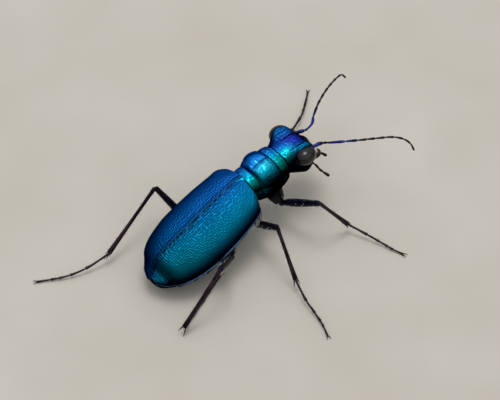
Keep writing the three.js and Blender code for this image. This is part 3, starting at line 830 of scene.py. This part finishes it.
def make_prothorax(material):
    """The neck shield: a collar at each end behind a furrow, two domes that a fine line
    divides, and wrinkles all over."""
    def place(t, turn, reach):
        across, up = rounded(turn, PROTHORAX_ROUNDNESS)
        low = step(-0.05, 0.5, -up)
        wide = prothorax_half_width(t) * (1 - low) + prothorax_side_half_width(t) * low
        x = PROTHORAX_REAR + PROTHORAX_LENGTH * t
        wrinkle = 0.018 * grain(Vector((x * 1.4, 2 * across, 2 * up)), 0.3)
        wrinkle += 0.02 * grain(Vector((x * 5, across, up)), 0.5) * (1 - step(0.2, 0.24, t))
        rear, front, line = neck_furrows(t, across * wide)
        valley = 0.1 * hump(across, 0.2) * step(0.26, 0.34, t) * (1 - step(0.5, 0.78, t))
        collar = 0.03 * (hump(t - 0.02, 0.02) + hump(t - 0.98, 0.02))
        crown = prothorax_crown(t) - 0.05 * line - valley - 0.1 * rear - 0.03 * front + collar
        tall = prothorax_keel(t) if up < 0 else crown
        seam = 0.05 * hump(up + 0.02, 0.03)
        y = (wide - seam + wrinkle) * across * reach
        return Vector((x, y, FORE_AXIS + (tall + wrinkle) * up * reach))

    # Painted shade in the furrows and along the line between the domes
    def furrow(spot):
        rear, front, line = neck_furrows((spot.x - PROTHORAX_REAR) / PROTHORAX_LENGTH, spot.y)
        return min(0.75 * rear + 0.4 * front + 0.6 * line, 1)

    bm = bmesh.new()
    add_barrel(bm, 170, 170, place, 0.012)
    keep_slope(bm, furrow)
    finish_piece("prothorax_shield", bm, [material], ["prothorax"])


def head_relief(x, y, up):
    """How far the top of the head stands out: fine ridges that run along the inside of each
    brow, a groove that parts each brow from the forehead, and wrinkles on the neck."""
    stripes = math.sin(2 * math.pi * (abs(y) - 0.16 * (x - 4.4) ** 2) / 0.18)
    run = step(3.75, 4.05, x) * (1 - step(4.95, 5.2, x))
    ridges = 0.017 * stripes * step(0.38, 0.6, abs(y)) - 0.05 * hump(abs(y) - 0.58, 0.1)
    forehead = 0.01 * math.sin(2 * math.pi * y / 0.16) * (1 - step(0.3, 0.5, abs(y)))
    forehead *= step(4.3, 4.7, x) * (1 - step(5.0, 5.2, x))
    wrinkles = 0.014 * grain(Vector((x * 3, y, 0)), 0.4) * (1 - step(3.6, 3.9, x))
    return (ridges * run + forehead + wrinkles) * step(0.15, 0.5, up)


def make_head(material, dark_material):
    """The head capsule, with brows that roof the eyes, bulging cheeks, the dark plate that
    carries the lip, the neck and the cups that the feelers turn in."""
    def place(t, turn, reach):
        across, up = rounded(turn, HEAD_ROUNDNESS)
        x = HEAD_REAR + HEAD_LENGTH * t
        low = step(-0.4, 0.3, -up)
        wide = head_half_width(t) * (1 - low) + cheek_half_width(t) * low
        rise, brow_x, brow_y, spread = BROWS["left" if across > 0 else "right"]
        spread *= step(0, 0.4, up) * step(0.3, 0.8, abs(across))
        wide += spread * hump(x - BROW_SPREAD[0], BROW_SPREAD[1])
        y = wide * across * reach
        brow = rise * math.exp(-(((x - brow_x) / BROW_REACH[0]) ** 4)) * step(0, 0.45, up)
        brow *= hump(abs(y) - brow_y, BROW_REACH[1])
        cheek = CHEEK_BULGE * hump(x - CHEEK_PLACE[0], CHEEK_REACH[0])
        cheek *= hump(up - CHEEK_PLACE[1], CHEEK_REACH[1])
        tall = head_chin(t) if up < 0 else head_crown(t)
        relief = head_relief(x, y, up)
        return Vector((x, y, FORE_AXIS + (tall * up + brow - cheek + relief) * reach))

    bm = bmesh.new()
    add_barrel(bm, 220, 150, place, 0.03)
    # Painted shade where the head faces aside and in the groove beside each brow
    keep_slope(bm, lambda spot: 0.5 * hump(abs(spot.y) - 0.56, 0.09) * step(3.9, 4.3, spot.x))
    capsule_faces = len(bm.faces)
    add_rod(bm, LIP_PLATE, (0.12, 0.2, 0.2, 0.12), 20, 40, 0.08, 0.8)
    add_rod(bm, NECK, (0.6, 0.85, 0.9), 40, 20, 0.1)
    for first, second, *_ in (ANTENNAE["left"][0], ANTENNAE["right"][0]):
        root, outward = Vector(first), (Vector(second) - Vector(first)).normalized()
        add_rod(bm, (root - outward * 0.16, root + outward * 0.06), (0.2, 0.24, 0.18), 20, 14, 0.2)
    bm.faces.ensure_lookup_table()
    for face in bm.faces[capsule_faces:]:
        face.material_index = 1
    finish_piece("head_capsule", bm, [material, dark_material], ["head"])


def make_eye(sign, side, material):
    """One compound eye: an egg-shaped bead, a little hollowed in front."""
    bm = bmesh.new()
    for vert in bmesh.ops.create_uvsphere(bm, u_segments=96, v_segments=64, radius=1)["verts"]:
        hollow = 1 - 0.05 * hump(vert.co.x - 0.5, 0.4) * step(0, 1, -vert.co.y)
        x, y, z = (vert.co[i] * EYE_HALF[i] * hollow for i in range(3))
        vert.co = Vector((EYE_CENTRE.x + x, sign * (EYE_CENTRE.y + y), EYE_CENTRE.z + z))
    finish_piece(f"{side}_eye", bm, [material], [f"eye_{side}"])


def make_labrum(material):
    """The upper lip: a drooping plate whose front edge has three blunt teeth."""
    bm = bmesh.new()
    bmesh.ops.create_grid(bm, x_segments=26, y_segments=60, size=0.5)
    for vert in bm.verts:
        u, across = vert.co.x + 0.5, 2 * vert.co.y
        middle = LABRUM_ROOT.lerp(LABRUM_FRONT, u)
        teeth = 0.12 * u ** 3 * (hump(across, 0.12) + 0.7 * hump(abs(across) - 0.38, 0.1))
        corner = 0.2 * u * across ** 4
        keel = 0.06 * hump(across, 0.25) * u
        droop = 0.26 * across ** 2 + 0.12 * u * u
        x, z = middle.x + teeth - corner, middle.z + 0.14 + keel - droop
        vert.co = Vector((x, LABRUM_HALF_WIDTH * across, z))
    bmesh.ops.solidify(bm, geom=bm.faces[:], thickness=0.1)
    finish_piece("labrum_plate", bm, [material], ["labrum"])


def segment_lines(path, shares):
    """Points along each share of a path, one share after the other."""
    start = 0.0
    for share in shares:
        yield [path(start + share * k / 4) for k in range(5)]
        start += share


def add_segments(bm, path, shares, radii):
    """A jointed length: each segment swells a little towards its far end."""
    for points, radius in zip(segment_lines(path, shares), radii):
        add_rod(bm, points, [radius * part for part in SEGMENT_SWELLING], 14, 16, 0.05)


def make_mouthparts(material):
    """Hooked jaws with teeth along their inner edge, and two pairs of jointed palps."""
    for side in ("left", "right"):
        turned = mirrored if side == "left" else list
        bm = bmesh.new()
        line = turned(MANDIBLE)
        add_rod(bm, line, MANDIBLE_RADII, 20, 40, 0.03, 0.7)
        path = path_through(line)
        for place, length in MANDIBLE_TEETH:
            root = path(place)
            inward = Vector((0.1, -math.copysign(1, root.y), -0.05)).normalized() * length
            add_rod(bm, (root, root + inward * 0.6, root + inward), TOOTH_RADII, 10, 10)
        finish_piece(f"{side}_mandible", bm, [material], [f"mandible_{side}"])
        for place, (points, shares, radii) in PALPS.items():
            bm = bmesh.new()
            add_segments(bm, path_through(turned(points)), shares, radii)
            finish_piece(f"{side}_{place}_palp", bm, [material], [f"palp_{place}_{side}"])


def make_antennae(base_material, outer_material):
    """Feelers of eleven segments, the first four of them metallic."""
    for side, lengths in ANTENNAE.items():
        named = zip(("root", "middle", "tip"), lengths, ANTENNA_SHARES, ANTENNA_RADII)
        for place, points, shares, radii in named:
            bm = bmesh.new()
            add_segments(bm, path_through(points), shares, radii)
            metallic_segments = {"root": len(shares), "middle": 1, "tip": 0}[place]
            metallic_faces = len(bm.faces) // len(shares) * metallic_segments
            for i, face in enumerate(bm.faces):
                face.material_index = 0 if i < metallic_faces else 1
            materials = [base_material, outer_material]
            node = f"antenna_{side}_{place}"
            finish_piece(f"{side}_feeler_{place}", bm, materials, [node])


def lowered_foot(ankle, foot):
    """The foot's line, sunk towards its tip so that the slender foot rests on the ground."""
    points = [ankle, *foot]
    last = len(points) - 1
    return [(x, y, z - FOOT_LOWERED * (i / last) ** 0.5) for i, (x, y, z) in enumerate(points)]


def add_claws(bm, tip, heading):
    """Two hooked claws that splay from the last foot joint down to the ground."""
    spread = Vector((-heading.y, heading.x, 0))
    for hand in (1, -1):
        out = (heading + spread * 0.4 * hand).normalized()
        root = tip + spread * 0.03 * hand - heading * 0.05
        middle = root + out * CLAW_LENGTH * 0.55 + Vector((0, 0, 0.015))
        end = root + out * CLAW_LENGTH
        end.z = 0.02
        add_rod(bm, (root, middle, end), CLAW_RADII, 8, 12, 0.02)


def add_bristles(bm, a, b, radius, count, length, thickness, lean=0.7, turns=(0, 2 * math.pi)):
    """Short bristles set round a straight length and leaning towards its far end."""
    along = (b - a).normalized()
    side = along.cross(Vector((0, 0, 1))).normalized()
    up = side.cross(along)
    for k in range(count):
        t = (k + 0.5 + random.uniform(-0.3, 0.3)) / count
        turn = random.uniform(*turns)
        out = side * math.cos(turn) + up * math.sin(turn)
        size = length * random.uniform(0.75, 1.25)
        add_hair(bm, a.lerp(b, t) + out * radius * 0.85, out + along * lean, size, thickness)


def make_hip(name, root, hip, material):
    """The coxa: a short stout cone that carries the leg."""
    bm = bmesh.new()
    add_rod(bm, (root, root.lerp(hip, 0.5), hip), COXA_RADII, 28, 30, 0.12)
    finish_piece(f"{name}_hip", bm, [material], [f"{name}_coxa"])


def make_thigh(name, hip, knee, ankle, material):
    """The trochanter, the femur and the knob of the knee."""
    thigh, shin = (knee - hip).normalized(), (ankle - knee).normalized()
    bm = bmesh.new()
    add_rod(bm, (hip - thigh * 0.05, hip + thigh * 0.42), TROCHANTER_RADII, 20, 18, 0.15)
    add_rod(bm, (hip + thigh * 0.25, knee), FEMUR_RADII, 24, 34, 0.03, 0.86)
    add_rod(bm, (knee - thigh * 0.16, knee + shin * 0.12), KNEE_RADII, 16, 14, 0.3)
    finish_piece(f"{name}_thigh", bm, [material], [f"{name}_femur"])


def make_shin(name, knee, ankle, toe, spur_length, material):
    """The tibia, with two spurs and a ring of bristles at its end. A spur ends above ground."""
    shin = (ankle - knee).normalized()
    aside = shin.cross(toe - ankle).normalized()
    bm = bmesh.new()
    add_rod(bm, (knee, ankle), TIBIA_RADII, 20, 34, 0.02)
    for hand, longest in ((1, spur_length), (-1, spur_length * 0.8)):
        aim = (shin + aside * 0.28 * hand - Vector((0, 0, 0.12))).normalized()
        start = ankle - shin * 0.06 + aside * 0.1 * hand
        room = max(0.1, (start.z - 0.02) / max(-aim.z, 0.05))
        aim *= min(longest, room)
        add_rod(bm, (start, start + aim * 0.5, start + aim), SPUR_RADII, 8, 12)
    for k in range(9):
        turn = 2 * math.pi * k / 9
        out = aside * math.cos(turn) + shin.cross(aside) * math.sin(turn)
        add_hair(bm, ankle - shin * 0.03 + out * 0.13, shin + out * 0.5, 0.16, 0.018, 0)
    add_bristles(bm, knee, ankle, 0.12, 34, 0.17, 0.013)
    finish_piece(f"{name}_shin", bm, [material], [f"{name}_tibia"])


def make_foot(name, ankle, foot, material):
    """The five bristly joints of the tarsus and its claws."""
    bm = bmesh.new()
    path = path_through(lowered_foot(tuple(ankle), foot))
    for points, radii in zip(segment_lines(path, TARSUS_SHARES), TARSUS_RADII):
        add_rod(bm, points, radii, 14, 16, 0.05)
        add_bristles(bm, points[1], points[4], radii[2] * 0.8, 7, 0.1, 0.011, 1.0)
    tip = path(1)
    heading = tip - path(0.9)
    heading.z = 0
    add_claws(bm, tip, heading.normalized())
    finish_piece(f"{name}_foot", bm, [material], [f"{name}_tarsus"])


def make_leg_hairs(name, root, hip, knee, material):
    """White hairs in rows along the thigh, and round the end of the hip."""
    bm = bmesh.new()
    thigh = (knee - hip).normalized()
    inner, outer = hip + thigh * 0.35, knee - thigh * 0.25
    for turns, count, length in THIGH_HAIRS:
        add_bristles(bm, inner, outer, 0.23, count, length, 0.016, 0.45, turns)
    add_bristles(bm, root.lerp(hip, 0.45), hip, 0.4, 16, 0.42, 0.016, 0.3)
    finish_piece(f"{name}_hairs", bm, [material])


def make_legs(hip_material, thigh_material, shin_material, foot_material, hair_material):
    """All six legs, each from the body outwards."""
    for name, (knee, ankle, foot) in LEGS.items():
        pair, side = name.split("_")
        root, hip, spur_length = LEG_PAIRS[pair]
        root, hip, knee, ankle = (Vector(place) for place in (root, hip, knee, ankle))
        if side == "right":
            root.y, hip.y = -root.y, -hip.y
        make_hip(name, root, hip, hip_material)
        make_thigh(name, hip, knee, ankle, thigh_material)
        make_shin(name, knee, ankle, Vector(foot[0]), spur_length, shin_material)
        make_foot(name, ankle, foot, foot_material)
        make_leg_hairs(name, root, hip, knee, hair_material)


def make_setae(hair_material):
    """White hairs along the sides of the thorax and the belly, and a few on the lip."""
    bm = bmesh.new()
    for sign in (1, -1):
        for _ in range(40):
            x = random.uniform(-1.6, -0.4)
            side = sign * belly_half_width(max(-x / CASE_LENGTH, 0)) * 0.93
            root = HIND_BODY @ Vector((x, side, random.uniform(-0.75, -0.35)))
            add_hair(bm, root, (-0.5, sign, -0.6), random.uniform(0.2, 0.32), 0.012)
        for k in range(7):
            spot = LABRUM_ROOT.lerp(LABRUM_FRONT, 0.85)
            root = Vector((spot.x - 0.05, sign * 0.09 * (k + 0.6), spot.z - 0.02))
            add_hair(bm, root, (1, sign * 0.1, -0.2), 0.3, 0.013)
    finish_piece("body_hairs", bm, [hair_material])


def make_floor():
    """A plain floor under the feet, for the render only."""
    bm = bmesh.new()
    bmesh.ops.create_grid(bm, x_segments=1, y_segments=1, size=FLOOR_HALF_WIDTH)
    mesh = bpy.data.meshes.new("floor")
    bm.to_mesh(mesh)
    bm.free()
    mesh.materials.append(pale_floor())
    add_object("floor", mesh)


def make_camera():
    """A long lens from the photograph's angle."""
    right = Vector((math.cos(CAMERA_TURN), -math.sin(CAMERA_TURN), 0))
    back = Vector((
        -math.sin(CAMERA_TURN) * math.cos(CAMERA_RISE),
        -math.cos(CAMERA_TURN) * math.cos(CAMERA_RISE),
        math.sin(CAMERA_RISE),
    ))
    up = back.cross(right)
    data = bpy.data.cameras.new("camera")
    data.sensor_width = SENSOR_WIDTH
    data.lens = SENSOR_WIDTH * CAMERA_DISTANCE / VIEW_WIDTH
    data.clip_start, data.clip_end = CAMERA_CLIP
    camera = add_object("camera", data)
    aim = Vector((0, 0, BASE_CROWN_HEIGHT)) + right * VIEW_OFFSET[0] + up * VIEW_OFFSET[1]
    camera.location = TO_FRAME @ (aim + back * CAMERA_DISTANCE)
    camera.rotation_mode = "QUATERNION"
    camera.rotation_quaternion = Matrix((right, up, back)).transposed().to_quaternion()
    bpy.context.scene.camera = camera


def make_light():
    """A soft square light overhead, which faces the middle of the beetle."""
    data = bpy.data.lights.new("overhead", "AREA")
    data.shape = "SQUARE"
    data.size = LIGHT_SIZE * MM
    data.energy = LIGHT_POWER
    light = add_object("overhead", data)
    away = Vector(LIGHT_DIRECTION).normalized()
    light.location = TO_FRAME @ Vector(LIGHT_AIM) + away * LIGHT_DISTANCE * MM
    light.rotation_mode = "QUATERNION"
    light.rotation_quaternion = away.to_track_quat("Z", "Y")


def make_sky():
    """An overcast sky, bright overhead and darker towards the horizon."""
    world = bpy.data.worlds.new("soft_sky")
    world.use_nodes = True
    tree = world.node_tree
    tree.nodes.clear()
    place = add_node(tree, "ShaderNodeTexCoord")
    height = add_node(tree, "ShaderNodeSeparateXYZ", {0: place.outputs["Generated"]}).outputs["Z"]
    colour = ramp(tree, height, ((0.0, "4c5058"), (1.0, "f8fafc")))
    lit = add_node(tree, "ShaderNodeBackground", {"Color": colour, "Strength": 1.0})
    add_node(tree, "ShaderNodeOutputWorld", {"Surface": lit.outputs[0]})
    bpy.context.scene.world = world


random.seed(7)
violet_thigh = dark_cuticle("violet_black_thigh_cuticle", "07070f", "1c1838", 0.6, 0.34, 0.09, 0.012)
brown_shin = dark_cuticle("brown_violet_shin_cuticle", "120d12", "3a2630", 0.4, 0.38, 0.08, 0.012)
brown_foot = dark_cuticle("brown_grey_foot_cuticle", "1a1416", "40323a", 0.2, 0.42, 0.08, 0.01)
dark_belly = dark_cuticle("blue_black_belly_cuticle", "040508", "0c0d1a", 0.6, 0.38, 0.13, 0.014)
jaw_horn = dark_cuticle("brown_jaw_cuticle", "120c0a", "3c2414", 0.1, 0.3, 0.12, 0.006)
blue_feeler = dark_cuticle("violet_blue_feeler_cuticle", "12153c", "333a98", 0.85, 0.3, 0.07, 0.006)
grey_feeler = dark_cuticle("grey_brown_feeler_cuticle", "17161c", "383440", 0.15, 0.5, 0.06, 0.008)
white_hair = hair_keratin()
faceted_eye = eye_lens()
# Its colours hold painted light: a painted highlight in a cyan stripe over the right dome, and
# painted shade that darkens both sides
prothorax_cuticle = fore_body_cuticle(
    "layered_cyan_cuticle",
    0.25,
    (
        (0, "0a2a60"), (0.16, "0a58b0"), (0.3, "1478dc"), (0.5, "2a96ec"), (0.62, "38d0f6"),
        (0.76, "0aa0bc"), (0.86, "025c70"), (0.96, "01141e"),
    ),
    (
        (0, "183c80"), (0.24, "2a6ccc"), (0.44, "1a90dc"), (0.6, "0aa6c0"), (0.74, "067c74"),
        (0.9, "02282a"),
    ),
    ((0.12, 1.0), (0.15, 0.0), (0.4, 0.0), (0.44, 1.0)),
)
# Its colours hold painted shade: darker down the right side behind the eye, and nearly black over
# the steep front
head_cuticle = fore_body_cuticle(
    "layered_violet_blue_cuticle",
    0.28,
    (
        (0, "1464b0"), (0.2, "1a7cd2"), (0.32, "2a4cb8"), (0.46, "3442c6"), (0.6, "2c54cc"),
        (0.72, "1684c8"), (0.86, "0a7090"), (1, "063048"),
    ),
    (
        (0.1, "0a1c48"), (0.3, "12347c"), (0.42, "1c5cc0"), (0.52, "14a0dc"), (0.6, "18c4e4"),
        (0.68, "0a9098"), (0.76, "034448"), (0.86, "01141a"),
    ),
    ((0.64, 1.0), (0.77, 0.0)),
    ((0.9, 1.0), (0.925, 0.06)),
)

for sign, side in ((1, "left"), (-1, "right")):
    make_wing_case(sign, side, wing_case_cuticle(side))
    make_eye(sign, side, faceted_eye)
make_scutellum(prothorax_cuticle)
make_hind_body(dark_belly)
make_prothorax(prothorax_cuticle)
make_head(head_cuticle, dark_belly)
make_labrum(ivory_plate())
make_mouthparts(jaw_horn)
make_antennae(blue_feeler, grey_feeler)
make_legs(dark_belly, violet_thigh, brown_shin, brown_foot, white_hair)
make_setae(white_hair)
make_floor()
make_sky()
make_light()
make_camera()
bpy.context.scene.view_settings.view_transform = "Standard"
